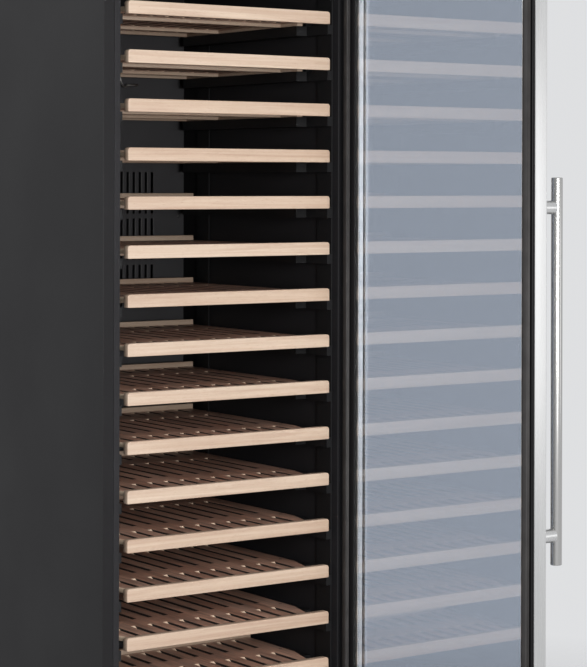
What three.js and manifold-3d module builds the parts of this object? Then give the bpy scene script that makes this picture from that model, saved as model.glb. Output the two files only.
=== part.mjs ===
// Free-standing wine cooler: black insulated cabinet, fifteen sliding wooden shelves,
// stainless-framed double-glazed door hinged on the right and standing open at 90 degrees.
// Millimetres, +Z up. The door side of the cabinet faces -Y.
import * as THREE from 'three';
import { mergeVertices } from 'three/addons/utils/BufferGeometryUtils.js';
import Module from 'manifold-3d';

const wasm = await Module();
wasm.setup();

// ---------------------------------------------------------------- driving dimensions
const WIDTH = 595;
const BODY_DEPTH = 635;
const HEIGHT = 1760;
const GAP = 0.3;               // gap left between pieces that touch
const SHEET = 1.5;             // sheet steel thickness
const HALF = WIDTH / 2;

// cabinet
const FOOT_HEIGHT = 22;
const BODY_TOP = HEIGHT - 4;   // the top hinge bracket stands on this face
const FLANGE = 24;             // width of the steel front flange at the sides
const LIP = 13.5;              // width of the liner's front lip
const INNER_HALF = HALF - FLANGE - LIP;
const LINER = 2.5;
const FLOOR_Z = 196;
const CEILING_Z = 1705;
const INNER_DEPTH = 600;
const HUMP_Y = 330;            // compressor hump inside the cabinet
const HUMP_Z = 340;
const WALL = 42;               // insulation between the hump and the machine space
const KICK_TOP = 100;

// shelves
const SHELF_COUNT = 15;
const SHELF_PITCH = 95;
const FIRST_SHELF_Z = 1630;    // top edge of the highest front trim
const SHELF_SET_BACK = 3;
const TRIM_HALF = 240.5;
const TRIM_THICK = 16;
const TRIM_HEIGHT = 25.6;
const SHELF_LENGTH = 536;
const SHORT_SHELF_LENGTH = 300;
const DECK_TOP = -7.5;         // below the top edge of the trim
const DECK_THICK = 10;
const DECK_HALF = 235;
const DECK_FRONT_HALF = 208;   // the deck's front corners are cut off on the slant
const DECK_CORNER = 98;        // length of that slant behind the trim
const SLOT_PITCH = 37.7;
const SLOT_WIDTH = 9;
const SLOT_COUNT = 11;
const SLOT_RUNS = [[TRIM_THICK, 128], [187, 390], [452, 514]];  // between the solid cross bands
const BATTEN = 24;             // batten under each cross band
const BATTENS = [151, 392];    // front faces of the battens
const REAR_BAR = 12;
const REAR_BAR_PROUD = 10.5;   // height of the rear bar above the deck
const RUNNER = 14;             // runner under each edge of the deck, resting on the ledge
const RUNNER_START = 90;
const RUNNER_BOTTOM = -25;
const LEDGE_TOP = RUNNER_BOTTOM - 0.4;
const LEDGE_HEIGHT = 20;
const LEDGE_HALF = 219;
const LEDGE_TIP_HALF = 245;    // in front of the runners the ledge narrows to a strip along the wall
const LEDGE_TIP_START = 18;
const GUIDE_TOP = -14;         // top of the upright guide at the outer side of each ledge

// door, described in its closed place
const DOOR_THICK = 30;
const DOOR_INNER_Y = -10;      // inner face of the closed door
const DOOR_OUTER_Y = DOOR_INNER_Y - DOOR_THICK;
const DOOR_BOTTOM = 104;
const DOOR_TOP = BODY_TOP - 3;
const HINGE_INSET = 16;
const HINGE_X = HALF - HINGE_INSET;
const HINGE_Y = DOOR_INNER_Y - HINGE_INSET;
const DOOR_OPEN = Math.PI / 2;
const PIN_RADIUS = 5;
const PANE = 4;
const SPACER = 12;
const SPACER_WIDTH = 11;
const GLASS_HALF = 268;
const INNER_BORDER = 38;       // black frame width around the glass, inside
const OUTER_BORDER = 45;       // stainless frame width around the glass, outside
const GASKET_INSET = 12;
const GASKET_WIDTH = 12;
const HANDLE_INSET = 37;
const HANDLE_REACH = 57;
const HANDLE_RADIUS = 11;
const HANDLE_CENTRE_Z = 925.5;
const HANDLE_LENGTH = 726;
const STANDOFF_SPACING = 614;
const STANDOFF_RADIUS = 13;

// the frame's origin is the middle of the bounding box's lowest face
const BOX_RIGHT = HINGE_X + HINGE_Y - DOOR_OUTER_Y + HANDLE_REACH + HANDLE_RADIUS;
const BOX_FRONT = HINGE_Y - HALF - HINGE_X;
const ORIGIN_X = (BOX_RIGHT - HALF) / 2;
const ORIGIN_Y = (BODY_DEPTH + BOX_FRONT) / 2;

// ---------------------------------------------------------------- shape helpers
const box = (x0, x1, y0, y1, z0, z1) =>
  new THREE.BoxGeometry(x1 - x0, y1 - y0, z1 - z0)
    .translate((x0 + x1) / 2, (y0 + y1) / 2, (z0 + z1) / 2);

const upright = (x, y, z0, z1, radius, sides = 16) =>
  new THREE.CylinderGeometry(radius, radius, z1 - z0, sides)
    .rotateX(Math.PI / 2).translate(x, y, (z0 + z1) / 2);

const alongY = (x, z, y0, y1, radius, sides = 16) =>
  new THREE.CylinderGeometry(radius, radius, y1 - y0, sides).translate(x, (y0 + y1) / 2, z);

const alongX = (y, z, x0, x1, radius, sides = 12) =>
  new THREE.CylinderGeometry(radius, radius, x1 - x0, sides)
    .rotateZ(Math.PI / 2).translate((x0 + x1) / 2, y, z);

const turned = (profile, x, y, sides = 20) =>
  new THREE.LatheGeometry(profile.map(([r, z]) => new THREE.Vector2(r, z)), sides)
    .rotateX(Math.PI / 2).translate(x, y, 0);

// outline in Y and Z, drawn out along X
function extrudeAlongX(points, x0, x1) {
  const shape = new THREE.Shape(points.map(([y, z]) => new THREE.Vector2(y, z)));
  return new THREE.ExtrudeGeometry(shape, { depth: x1 - x0, bevelEnabled: false })
    .rotateZ(Math.PI / 2).rotateY(Math.PI / 2).translate(x0, 0, 0);
}

// outline in X and Y, drawn out along Z
function extrudeAlongZ(points, z0, z1) {
  const shape = new THREE.Shape(points.map(([x, y]) => new THREE.Vector2(x, y)));
  return new THREE.ExtrudeGeometry(shape, { depth: z1 - z0, bevelEnabled: false }).translate(0, 0, z0);
}

function solid(geometry) {
  if (!geometry.isBufferGeometry) return geometry;
  const bare = geometry.clone();
  bare.deleteAttribute('normal');
  bare.deleteAttribute('uv');
  const merged = mergeVertices(bare, 1e-4);
  return new wasm.Manifold(new wasm.Mesh({
    numProp: 3,
    vertProperties: new Float32Array(merged.attributes.position.array),
    triVerts: new Uint32Array(merged.index.array),
  }));
}

const join = (first, ...rest) => rest.reduce((sum, piece) => sum.add(solid(piece)), solid(first));
const cut = (first, ...rest) => rest.reduce((sum, piece) => sum.subtract(solid(piece)), solid(first));

function geometryOf(shape) {
  if (shape.isBufferGeometry) return shape;
  const mesh = shape.getMesh();
  const geometry = new THREE.BufferGeometry();
  geometry.setAttribute('position', new THREE.BufferAttribute(mesh.vertProperties, 3));
  geometry.setIndex(new THREE.BufferAttribute(mesh.triVerts, 1));
  geometry.computeVertexNormals();
  return geometry;
}

// a flat upright panel with rectangular holes, each given as x0, x1, z0, z1
function panelWithHoles([x0, x1, z0, z1], holes, y0, y1) {
  return cut(
    box(x0, x1, y0, y1, z0, z1),
    ...holes.map(([left, right, low, high]) => box(left, right, y0 - 1, y1 + 1, low, high)),
  );
}

// a rectangular frame with four mitre-free bars of one width
function ring(half, z0, z1, width, y0, y1) {
  return cut(
    box(-half, half, y0, y1, z0, z1),
    box(-half + width, half - width, y0 - 1, y1 + 1, z0 + width, z1 - width),
  );
}

// ---------------------------------------------------------------- finishes
const finish = (color, roughness, metalness = 0) => ({ color, roughness, metalness });
const BLACK_STEEL = finish(0x3a393c, 0.5, 0.3);
const BLACK_PLASTIC = finish(0x1d1d1f, 0.55);
const LINER_BLACK = finish(0x161617, 0.6);
const FOAM = finish(0xe6d9a8, 0.95);
const GALVANISED = finish(0xa9abac, 0.45, 0.8);
const STAINLESS = finish(0xd4d3d0, 0.3, 1);
const ALUMINIUM = finish(0xc9c9c8, 0.35, 0.9);
const BEECH = finish(0xd9b899, 0.6);
const GLASS = finish(0x8d96a4, 0.08, 0.1);
const RUBBER = finish(0x4a4744, 0.8);
const CHASSIS = finish(0x202124, 0.5, 0.4);
const COPPER = finish(0xb4714a, 0.35, 0.9);
const DISPLAY = finish(0x0c0d10, 0.1);
const LED_DIFFUSER = finish(0xf2f2ee, 0.4);

const cooler = new THREE.Group();
const cabinet = new THREE.Group();
cabinet.position.set(-ORIGIN_X, -ORIGIN_Y, 0);
cooler.add(cabinet);

const door = new THREE.Group();
door.position.set(HINGE_X, HINGE_Y, 0);
door.rotation.z = DOOR_OPEN;
cabinet.add(door);
const doorInside = new THREE.Group();
doorInside.position.set(-HINGE_X, -HINGE_Y, 0);
door.add(doorInside);

function add(name, shape, look, parent = cabinet) {
  const mesh = new THREE.Mesh(geometryOf(shape), new THREE.MeshStandardMaterial(look));
  mesh.name = name;
  parent.add(mesh);
}

// ---------------------------------------------------------------- cabinet
const SHELL_INSIDE = HALF - SHEET;
const LIP_HALF = INNER_HALF + LIP;
const MACHINE_Y = HUMP_Y + WALL;
const MACHINE_TOP = HUMP_Z - WALL;
const UNDER_FLOOR_Z = FLOOR_Z - 48;

function outerShell() {
  return cut(
    box(-HALF, HALF, 0, BODY_DEPTH, FOOT_HEIGHT, BODY_TOP),
    box(-SHELL_INSIDE, SHELL_INSIDE, SHEET, BODY_DEPTH + 1, FOOT_HEIGHT - 1, BODY_TOP - SHEET),
    box(-LIP_HALF, LIP_HALF, -1, SHEET + 1, FLOOR_Z - LIP, CEILING_Z + LIP),
    box(-LIP_HALF, LIP_HALF, -1, SHEET + 1, FOOT_HEIGHT - 1, KICK_TOP),
  );
}

// the stepped inside of the cabinet, grown outwards by a margin, open at y0
function innerSpace(margin, y0) {
  const outline = [
    [y0, FLOOR_Z - margin], [HUMP_Y + margin, FLOOR_Z - margin], [HUMP_Y + margin, HUMP_Z - margin],
    [INNER_DEPTH + margin, HUMP_Z - margin], [INNER_DEPTH + margin, CEILING_Z + margin],
    [y0, CEILING_Z + margin],
  ];
  return extrudeAlongX(outline, -INNER_HALF - margin, INNER_HALF + margin);
}

function innerLiner() {
  const lip = box(-LIP_HALF + GAP, LIP_HALF - GAP, 0, LINER, FLOOR_Z - LIP + GAP, CEILING_Z + LIP - GAP);
  return cut(join(innerSpace(LINER, 0), lip), innerSpace(0, -1));
}

const FOAM_BACK = BODY_DEPTH - 2 * SHEET - GAP;

function insulationFoam() {
  const front = LINER + GAP;
  const outline = [
    [front, UNDER_FLOOR_Z], [MACHINE_Y, UNDER_FLOOR_Z], [MACHINE_Y, MACHINE_TOP],
    [FOAM_BACK, MACHINE_TOP], [FOAM_BACK, BODY_TOP - SHEET - GAP], [front, BODY_TOP - SHEET - GAP],
  ];
  const block = extrudeAlongX(outline, -SHELL_INSIDE + GAP, SHELL_INSIDE - GAP);
  return cut(block, innerSpace(LINER + GAP, 0));
}

const INLET_X = 200;
const INLET_Z = 70;

function backPanel() {
  const slots = [];
  for (let row = 0; row < 6; row++) {
    const z = 130 + row * 22;
    slots.push([-200, -20, z, z + 8], [20, 200, z, z + 8]);
  }
  slots.push([INLET_X - 15, INLET_X + 15, INLET_Z - 13, INLET_Z + 13]);
  return panelWithHoles([-SHELL_INSIDE + GAP, SHELL_INSIDE - GAP, FOOT_HEIGHT + 3, BODY_TOP - 2], slots,
    BODY_DEPTH - 2 * SHEET, BODY_DEPTH - SHEET);
}

function kickGrille() {
  const slots = [];
  for (let row = 0; row < 4; row++) {
    const z = 38 + row * 14;
    slots.push([-230, -12, z, z + 6], [12, 230, z, z + 6]);
  }
  return panelWithHoles([-LIP_HALF + GAP, LIP_HALF - GAP, FOOT_HEIGHT + 3, KICK_TOP - 1], slots, 1, 5);
}

add('outer_shell', outerShell(), BLACK_STEEL);
add('inner_liner', innerLiner(), LINER_BLACK);
add('insulation_foam', insulationFoam(), FOAM);
add('back_panel', backPanel(), GALVANISED);
add('kick_grille', kickGrille(), BLACK_PLASTIC);
add('base_plate', box(-290, 290, 8, BODY_DEPTH - 5, FOOT_HEIGHT, FOOT_HEIGHT + SHEET), GALVANISED);

const FOOT_PROFILE = [[0, 0], [20, 0], [20, 5], [15, 9], [7, 11], [7, FOOT_HEIGHT - GAP], [0, FOOT_HEIGHT - GAP]];
for (const [end, y] of [['front', 45], ['rear', BODY_DEPTH - 50]]) {
  add(`foot_${end}_left`, turned(FOOT_PROFILE, -245, y), BLACK_PLASTIC);
  add(`foot_${end}_right`, turned(FOOT_PROFILE, 245, y), BLACK_PLASTIC);
}

// ---------------------------------------------------------------- shelves and their ledges
const shelfTop = (index) => FIRST_SHELF_Z - index * SHELF_PITCH;
const shelfLength = (index) => (index === SHELF_COUNT - 1 ? SHORT_SHELF_LENGTH : SHELF_LENGTH);

// one shelf, with its origin on the top front edge of its trim: a slotted deck on two runners and two battens
function shelf(length) {
  const deckBottom = DECK_TOP - DECK_THICK;
  const back = length - REAR_BAR;
  const rightEdge = [
    [DECK_FRONT_HALF, TRIM_THICK - 1], [DECK_HALF, TRIM_THICK + DECK_CORNER], [DECK_HALF, back + 1],
  ];
  const leftEdge = rightEdge.map(([x, y]) => [-x, y]).reverse();
  const slots = [];
  for (let column = 0; column < SLOT_COUNT; column++) {
    const x = (column - (SLOT_COUNT - 1) / 2) * SLOT_PITCH;
    for (const [front, end] of SLOT_RUNS.filter(([start]) => start + SLOT_PITCH < back)) {
      slots.push(box(x - SLOT_WIDTH / 2, x + SLOT_WIDTH / 2, front, Math.min(end, back - SLOT_WIDTH),
        deckBottom - 1, DECK_TOP + 1));
    }
  }
  return join(
    box(-TRIM_HALF, TRIM_HALF, 0, TRIM_THICK, -TRIM_HEIGHT, 0),
    cut(extrudeAlongZ([...rightEdge, ...leftEdge], deckBottom, DECK_TOP), ...slots),
    box(-DECK_HALF, -DECK_HALF + RUNNER, RUNNER_START, length, RUNNER_BOTTOM, deckBottom),
    box(DECK_HALF - RUNNER, DECK_HALF, RUNNER_START, length, RUNNER_BOTTOM, deckBottom),
    ...BATTENS.filter((y) => y + BATTEN < back).map((y) =>
      box(RUNNER - DECK_HALF - 1, DECK_HALF - RUNNER + 1, y, y + BATTEN, RUNNER_BOTTOM, deckBottom)),
    box(-TRIM_HALF, TRIM_HALF, back, length, RUNNER_BOTTOM, DECK_TOP + REAR_BAR_PROUD),
  );
}

const fullShelf = shelf(SHELF_LENGTH);
const shortShelf = shelf(SHORT_SHELF_LENGTH);
for (let i = 0; i < SHELF_COUNT; i++) {
  const slide = new THREE.Group();
  slide.position.set(0, SHELF_SET_BACK, shelfTop(i));
  cabinet.add(slide);
  const name = `shelf_${String(i + 1).padStart(2, '0')}`;
  add(name, shelfLength(i) === SHELF_LENGTH ? fullShelf : shortShelf, BEECH, slide);
}

// wall strips with an L-shaped ledge for each shelf
function railPanel(side) {
  const wall = INNER_HALF - GAP;
  const strip = (y, z0) => {
    const edges = [side * (wall - 3), side * wall].sort((a, b) => a - b);
    return box(...edges, y, y + 50, z0, CEILING_Z - 40);
  };
  const outline = [
    [LEDGE_HALF, LEDGE_TOP - LEDGE_HEIGHT], [wall - 1, LEDGE_TOP - LEDGE_HEIGHT], [wall - 1, GUIDE_TOP],
    [TRIM_HALF + 3, GUIDE_TOP], [TRIM_HALF + 3, LEDGE_TOP], [LEDGE_HALF, LEDGE_TOP],
  ].map(([x, z]) => new THREE.Vector2(side * x, z));
  if (side < 0) outline.reverse();
  const tipEdges = [side * LEDGE_TIP_HALF, side * (wall - 1)].sort((a, b) => a - b);
  const ledges = Array.from({ length: SHELF_COUNT }, (_, i) => join(
    new THREE.ExtrudeGeometry(new THREE.Shape(outline), { depth: shelfLength(i) - RUNNER_START, bevelEnabled: false })
      .rotateX(Math.PI / 2).translate(0, SHELF_SET_BACK + shelfLength(i), shelfTop(i)),
    box(...tipEdges, LEDGE_TIP_START, RUNNER_START + SHELF_SET_BACK + 1,
      shelfTop(i) + LEDGE_TOP - LEDGE_HEIGHT, shelfTop(i) + LEDGE_TOP)));
  return join(strip(20, FLOOR_Z + 6), ...ledges, strip(490, HUMP_Z + 8));
}

add('rail_panel_left', railPanel(-1), LINER_BLACK);
add('rail_panel_right', railPanel(1), LINER_BLACK);

// ---------------------------------------------------------------- cooling circuit
const COVER_HALF = 242;
const COVER_Y = 572;
const COVER_BACK = INNER_DEPTH - 1;
const VENT_ROWS = 3;
const VENT_COLUMNS = 21;
const VENT_TOP_Z = 1300;
const VENT_PITCH = 15.8;
const VENT_WIDTH = 6;
const VENT_HEIGHT = 93;
const VENT_ROW_PITCH = 104;
const COVER_BOTTOM = HUMP_Z + 12;
const COVER_TOP = CEILING_Z - 55;
const COVER_SHEET = 2;

function evaporatorCover() {
  const vents = [];
  for (let row = 0; row < VENT_ROWS; row++) {
    const top = VENT_TOP_Z - row * VENT_ROW_PITCH;
    for (let column = 0; column < VENT_COLUMNS; column++) {
      const x = (column - (VENT_COLUMNS - 1) / 2) * VENT_PITCH;
      vents.push([x - VENT_WIDTH / 2, x + VENT_WIDTH / 2, top - VENT_HEIGHT, top]);
    }
  }
  const face = panelWithHoles([-COVER_HALF, COVER_HALF, COVER_BOTTOM, COVER_TOP], vents, COVER_Y, COVER_Y + COVER_SHEET);
  const rim = cut(
    box(-COVER_HALF, COVER_HALF, COVER_Y + 1, COVER_BACK, COVER_BOTTOM, COVER_TOP),
    box(-COVER_HALF + COVER_SHEET, COVER_HALF - COVER_SHEET, COVER_Y, COVER_BACK + 1,
      COVER_BOTTOM + COVER_SHEET, COVER_TOP - COVER_SHEET),
  );
  return join(face, rim);
}

function finnedBlock(x0, x1, y0, y1, z0, z1, fins) {
  const depth = y1 - y0;
  const height = z1 - z0;
  const pieces = [0.25, 0.75].map((k) => alongX(y0 + depth / 2, z0 + height * k, x0, x1, 4, 6));
  for (let i = 0; i < fins; i++) {
    const x = x0 + 6 + (i * (x1 - x0 - 14)) / (fins - 1);
    pieces.push(box(x, x + 1.6, y0, y1, z0, z1));
  }
  return join(...pieces);
}

// axial fan wheel on an axis along Y: a hub with pitched blades
function fanWheel(x, z, y0, y1, radius, blades) {
  const hub = alongY(0, 0, y0, y1, radius * 0.32, 20);
  const middle = (y0 + y1) / 2;
  const vanes = [];
  for (let i = 0; i < blades; i++) {
    const vane = box(-radius * 0.2, radius * 0.2, -0.8, 0.8, radius * 0.25, radius);
    vanes.push(vane.rotateZ(0.3).translate(0, middle, 0).rotateY((i * 2 * Math.PI) / blades));
  }
  return join(hub, ...vanes).translate([x, 0, z]);
}

const FAN_Z = 1150;
add('evaporator_cover', evaporatorCover(), LINER_BLACK);
add('evaporator_coil', finnedBlock(-180, 180, 578, 594, 1360, 1600, 9), ALUMINIUM);
add('circulation_fan', fanWheel(0, FAN_Z, 577, 588, 52, 5), BLACK_PLASTIC);
add('circulation_fan_motor', alongY(0, FAN_Z, 588.5, INNER_DEPTH - GAP, 22, 24), CHASSIS);

const COMPRESSOR_X = -150;
const COMPRESSOR_Y = 500;
const BASE_TOP = FOOT_HEIGHT + SHEET + GAP;
const COMPRESSOR_PROFILE = [
  [0, 40], [60, 40], [72, 52], [74, 130], [74, 190], [64, 214], [40, 228], [0, 232],
];
add('compressor', join(
  turned(COMPRESSOR_PROFILE, COMPRESSOR_X, COMPRESSOR_Y),
  box(COMPRESSOR_X - 95, COMPRESSOR_X + 95, COMPRESSOR_Y - 50, COMPRESSOR_Y + 50, BASE_TOP, 41),
), CHASSIS);
add('drip_tray', cut(
  box(COMPRESSOR_X - 100, COMPRESSOR_X + 100, COMPRESSOR_Y - 80, COMPRESSOR_Y + 80, 240, 268),
  box(COMPRESSOR_X - 97, COMPRESSOR_X + 97, COMPRESSOR_Y - 77, COMPRESSOR_Y + 77, 243, 269),
), BLACK_PLASTIC);
add('condenser_coil', finnedBlock(40, 240, 440, 520, BASE_TOP, 170, 8), COPPER);
add('condenser_fan', fanWheel(140, 97, 538, 556, 58, 5), BLACK_PLASTIC);
add('condenser_fan_motor', join(
  alongY(140, 97, 556.5, 585, 24),
  box(128, 152, 560, 584, BASE_TOP, 80),
), CHASSIS);

add('power_inlet', cut(
  box(INLET_X - 14, INLET_X + 14, BODY_DEPTH - 28, BODY_DEPTH - SHEET, INLET_Z - 12, INLET_Z + 12),
  box(INLET_X - 11, INLET_X + 11, BODY_DEPTH - 22, BODY_DEPTH, INLET_Z - 9, INLET_Z + 9),
), BLACK_PLASTIC);

// probe on a short lead that leaves the cover, hangs in a loop and ends in a metal tip
function temperatureSensor() {
  const route = new THREE.CatmullRomCurve3([
    [60, COVER_Y - GAP, 1530], [60, COVER_Y - 10, 1529], [62, COVER_Y - 15, 1520], [68, COVER_Y - 15, 1500],
    [78, COVER_Y - 13, 1490], [88, COVER_Y - 12, 1494],
  ].map((point) => new THREE.Vector3(...point)));
  const circle = new THREE.Shape().absarc(0, 0, 2, 0, 2 * Math.PI);
  const lead = new THREE.ExtrudeGeometry(circle, { steps: 16, extrudePath: route, curveSegments: 4 });
  return join(lead, alongX(COVER_Y - 12, 1494, 85, 112, 3.2, 16));
}
add('temperature_sensor', temperatureSensor(), CHASSIS);

// ---------------------------------------------------------------- controls and light
const PANEL_Y = 12;
const PANEL_BOTTOM = 1676;
const PANEL_MIDDLE = 1690.5;
const BUTTON_RADIUS = 4.7;
const BUTTONS = { power: -85, light: -60, colder: 60, warmer: 85 };
const CEILING_FACE = CEILING_Z - GAP;

add('control_panel', cut(
  box(-120, 120, PANEL_Y, 60, PANEL_BOTTOM, CEILING_FACE),
  box(-32, 32, PANEL_Y - 1, PANEL_Y + 2.5, PANEL_MIDDLE - 9, PANEL_MIDDLE + 9),
  ...Object.values(BUTTONS).map((x) => alongY(x, PANEL_MIDDLE, PANEL_Y - 1, PANEL_Y + 10, BUTTON_RADIUS + GAP)),
), BLACK_PLASTIC);
add('display_window', box(-32 + GAP, 32 - GAP, PANEL_Y + 0.4, PANEL_Y + 2.2, PANEL_MIDDLE - 9 + GAP, PANEL_MIDDLE + 9 - GAP), DISPLAY);
for (const [name, x] of Object.entries(BUTTONS)) {
  add(`button_${name}`, alongY(x, PANEL_MIDDLE, PANEL_Y - 2, PANEL_Y + 6, BUTTON_RADIUS), BLACK_PLASTIC);
}
add('led_strip', box(-230, 230, 66, 78, CEILING_FACE - 4, CEILING_FACE), LED_DIFFUSER);

// ---------------------------------------------------------------- hinges
const BRACKET_EDGE = HALF - 1.5;
const BRACKET_X0 = 255;
add('hinge_bracket_top', box(BRACKET_X0, BRACKET_EDGE, DOOR_OUTER_Y, 40, BODY_TOP + GAP, HEIGHT), CHASSIS);
add('hinge_bracket_bottom', join(
  box(BRACKET_X0, BRACKET_EDGE, DOOR_OUTER_Y, -GAP, DOOR_BOTTOM - 6, DOOR_BOTTOM - 2.3),
  box(LIP_HALF + 1, BRACKET_EDGE, -3.3, -GAP, 50, DOOR_BOTTOM - 3),
), CHASSIS);
add('hinge_pin_top', upright(HINGE_X, HINGE_Y, DOOR_TOP - 20, BODY_TOP, PIN_RADIUS), ALUMINIUM);
add('hinge_pin_bottom', upright(HINGE_X, HINGE_Y, DOOR_BOTTOM - 2, DOOR_BOTTOM + 20, PIN_RADIUS), ALUMINIUM);

// ---------------------------------------------------------------- door
const pinHoles = [
  upright(HINGE_X, HINGE_Y, DOOR_TOP - 24, DOOR_TOP + 1, PIN_RADIUS + 0.4),
  upright(HINGE_X, HINGE_Y, DOOR_BOTTOM - 1, DOOR_BOTTOM + 24, PIN_RADIUS + 0.4),
];
const SKIN_BACK = DOOR_INNER_Y - 1;
const PANE_SEAT = DOOR_INNER_Y - 4;
const FRAME_HALF = HALF - SHEET - GAP;
const FRAME_BOTTOM = DOOR_BOTTOM + SHEET + GAP;
const FRAME_TOP = DOOR_TOP - SHEET - GAP;
const GLASS_EDGE = HALF - GLASS_HALF;

function doorSkin() {
  return cut(
    box(-HALF, HALF, DOOR_OUTER_Y, SKIN_BACK, DOOR_BOTTOM, DOOR_TOP),
    box(-SHELL_INSIDE, SHELL_INSIDE, DOOR_OUTER_Y + SHEET, SKIN_BACK + 1, DOOR_BOTTOM + SHEET, DOOR_TOP - SHEET),
    box(-HALF + OUTER_BORDER, HALF - OUTER_BORDER, DOOR_OUTER_Y - 1, DOOR_OUTER_Y + SHEET + 1,
      DOOR_BOTTOM + OUTER_BORDER, DOOR_TOP - OUTER_BORDER),
    ...pinHoles,
  );
}

function doorInnerFrame() {
  const edge = HALF - FRAME_HALF;
  const lip = ring(FRAME_HALF, FRAME_BOTTOM, FRAME_TOP, INNER_BORDER - edge, PANE_SEAT + GAP, DOOR_INNER_Y);
  const core = ring(FRAME_HALF, FRAME_BOTTOM, FRAME_TOP, GLASS_EDGE - edge - GAP,
    DOOR_OUTER_Y + SHEET + GAP, PANE_SEAT + 1);
  return cut(join(lip, core), ...pinHoles);
}

add('door_skin', doorSkin(), STAINLESS, doorInside);
add('door_inner_frame', doorInnerFrame(), BLACK_PLASTIC, doorInside);

const PANE_BOTTOM = DOOR_BOTTOM + GLASS_EDGE;
const PANE_TOP = DOOR_TOP - GLASS_EDGE;
const OUTER_PANE_Y = PANE_SEAT - PANE - SPACER - 2 * GAP;
const TAPE_Y = OUTER_PANE_Y - PANE - GAP;
for (const [name, y] of [['inner', PANE_SEAT], ['outer', OUTER_PANE_Y]]) {
  add(`glass_${name}`, box(-GLASS_HALF, GLASS_HALF, y - PANE, y, PANE_BOTTOM, PANE_TOP), GLASS, doorInside);
}
const SPACER_EDGE = OUTER_BORDER - GLASS_EDGE - SPACER_WIDTH;
add('glass_spacer', ring(GLASS_HALF - SPACER_EDGE, PANE_BOTTOM + SPACER_EDGE, PANE_TOP - SPACER_EDGE, SPACER_WIDTH,
  OUTER_PANE_Y + GAP, PANE_SEAT - PANE - GAP), ALUMINIUM, doorInside);
add('glazing_tape', ring(GLASS_HALF, PANE_BOTTOM, PANE_TOP, OUTER_BORDER - GLASS_EDGE - 1,
  DOOR_OUTER_Y + SHEET + GAP, TAPE_Y), RUBBER, doorInside);

const GASKET_BACK = DOOR_INNER_Y + 9.2;
add('door_gasket', ring(HALF - GASKET_INSET, DOOR_BOTTOM + GASKET_INSET, DOOR_TOP - GASKET_INSET,
  GASKET_WIDTH, DOOR_INNER_Y + GAP, GASKET_BACK), RUBBER, doorInside);

const HANDLE_X = -HALF + HANDLE_INSET;
const HANDLE_Y = DOOR_OUTER_Y - HANDLE_REACH;
const handleTube = (radius) => upright(HANDLE_X, HANDLE_Y, HANDLE_CENTRE_Z - HANDLE_LENGTH / 2,
  HANDLE_CENTRE_Z + HANDLE_LENGTH / 2, radius, 24);
add('handle_bar', handleTube(HANDLE_RADIUS), STAINLESS, doorInside);
for (const [name, side] of [['top', 1], ['bottom', -1]]) {
  const z = HANDLE_CENTRE_Z + (side * STANDOFF_SPACING) / 2;
  add(`handle_standoff_${name}`, cut(
    alongY(HANDLE_X, z, HANDLE_Y + HANDLE_RADIUS - 3, DOOR_OUTER_Y - GAP, STANDOFF_RADIUS, 24),
    handleTube(HANDLE_RADIUS + GAP),
  ), STAINLESS, doorInside);
}

export default cooler;
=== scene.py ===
import math
import random

import bmesh
import bpy
from mathutils import Matrix, Vector


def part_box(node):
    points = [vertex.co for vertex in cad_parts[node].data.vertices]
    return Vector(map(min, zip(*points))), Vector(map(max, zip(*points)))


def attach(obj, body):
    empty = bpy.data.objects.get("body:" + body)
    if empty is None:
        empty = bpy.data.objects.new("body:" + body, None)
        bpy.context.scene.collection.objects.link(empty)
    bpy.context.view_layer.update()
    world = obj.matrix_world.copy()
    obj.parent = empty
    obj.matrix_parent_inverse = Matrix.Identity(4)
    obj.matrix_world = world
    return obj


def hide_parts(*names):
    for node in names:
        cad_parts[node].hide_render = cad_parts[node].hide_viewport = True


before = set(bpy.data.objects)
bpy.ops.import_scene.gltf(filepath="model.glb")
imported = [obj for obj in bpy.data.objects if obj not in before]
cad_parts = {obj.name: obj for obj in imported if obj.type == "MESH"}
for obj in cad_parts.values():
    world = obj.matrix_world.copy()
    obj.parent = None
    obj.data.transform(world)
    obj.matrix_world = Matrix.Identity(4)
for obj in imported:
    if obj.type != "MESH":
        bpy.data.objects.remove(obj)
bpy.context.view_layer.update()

# A tall wine cooler with its glass door standing open at 90 degrees. Metres, +Z up, door side towards -Y.
MM = 0.001
SCENE = bpy.context.scene
DICE = random.Random(4)

SHELL_LOW, SHELL_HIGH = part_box("outer_shell")
MID_X = (SHELL_LOW.x + SHELL_HIGH.x) / 2
FRONT_Y = SHELL_LOW.y


def cabinet_point(x, y, z):
    """A place in millimetres from the middle of the cabinet's front edge, on the floor."""
    return Vector((MID_X + x * MM, FRONT_Y + y * MM, z * MM))


# ---------------------------------------------------------------- camera
# Lens and sensor in millimetres, place in cabinet millimetres, turns in degrees.
LENS = 132.56
SENSOR = 36
SHIFT_UP = -0.2586
CAMERA_PLACE = (-2372.9, -3604.9, 1279.4)
CAMERA_YAW = -34.956
CAMERA_ROLL = 0.141


def make_camera():
    data = bpy.data.cameras.new("camera")
    data.sensor_fit = "HORIZONTAL"
    data.sensor_width = SENSOR
    data.lens = LENS
    data.shift_y = SHIFT_UP
    camera = bpy.data.objects.new("camera", data)
    turn = Matrix.Rotation(math.radians(CAMERA_YAW), 4, "Z")
    level = Matrix.Rotation(math.radians(90), 4, "X")
    roll = Matrix.Rotation(math.radians(CAMERA_ROLL), 4, "Z")
    camera.matrix_world = Matrix.Translation(cabinet_point(*CAMERA_PLACE)) @ turn @ level @ roll
    SCENE.collection.objects.link(camera)
    SCENE.camera = camera


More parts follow.
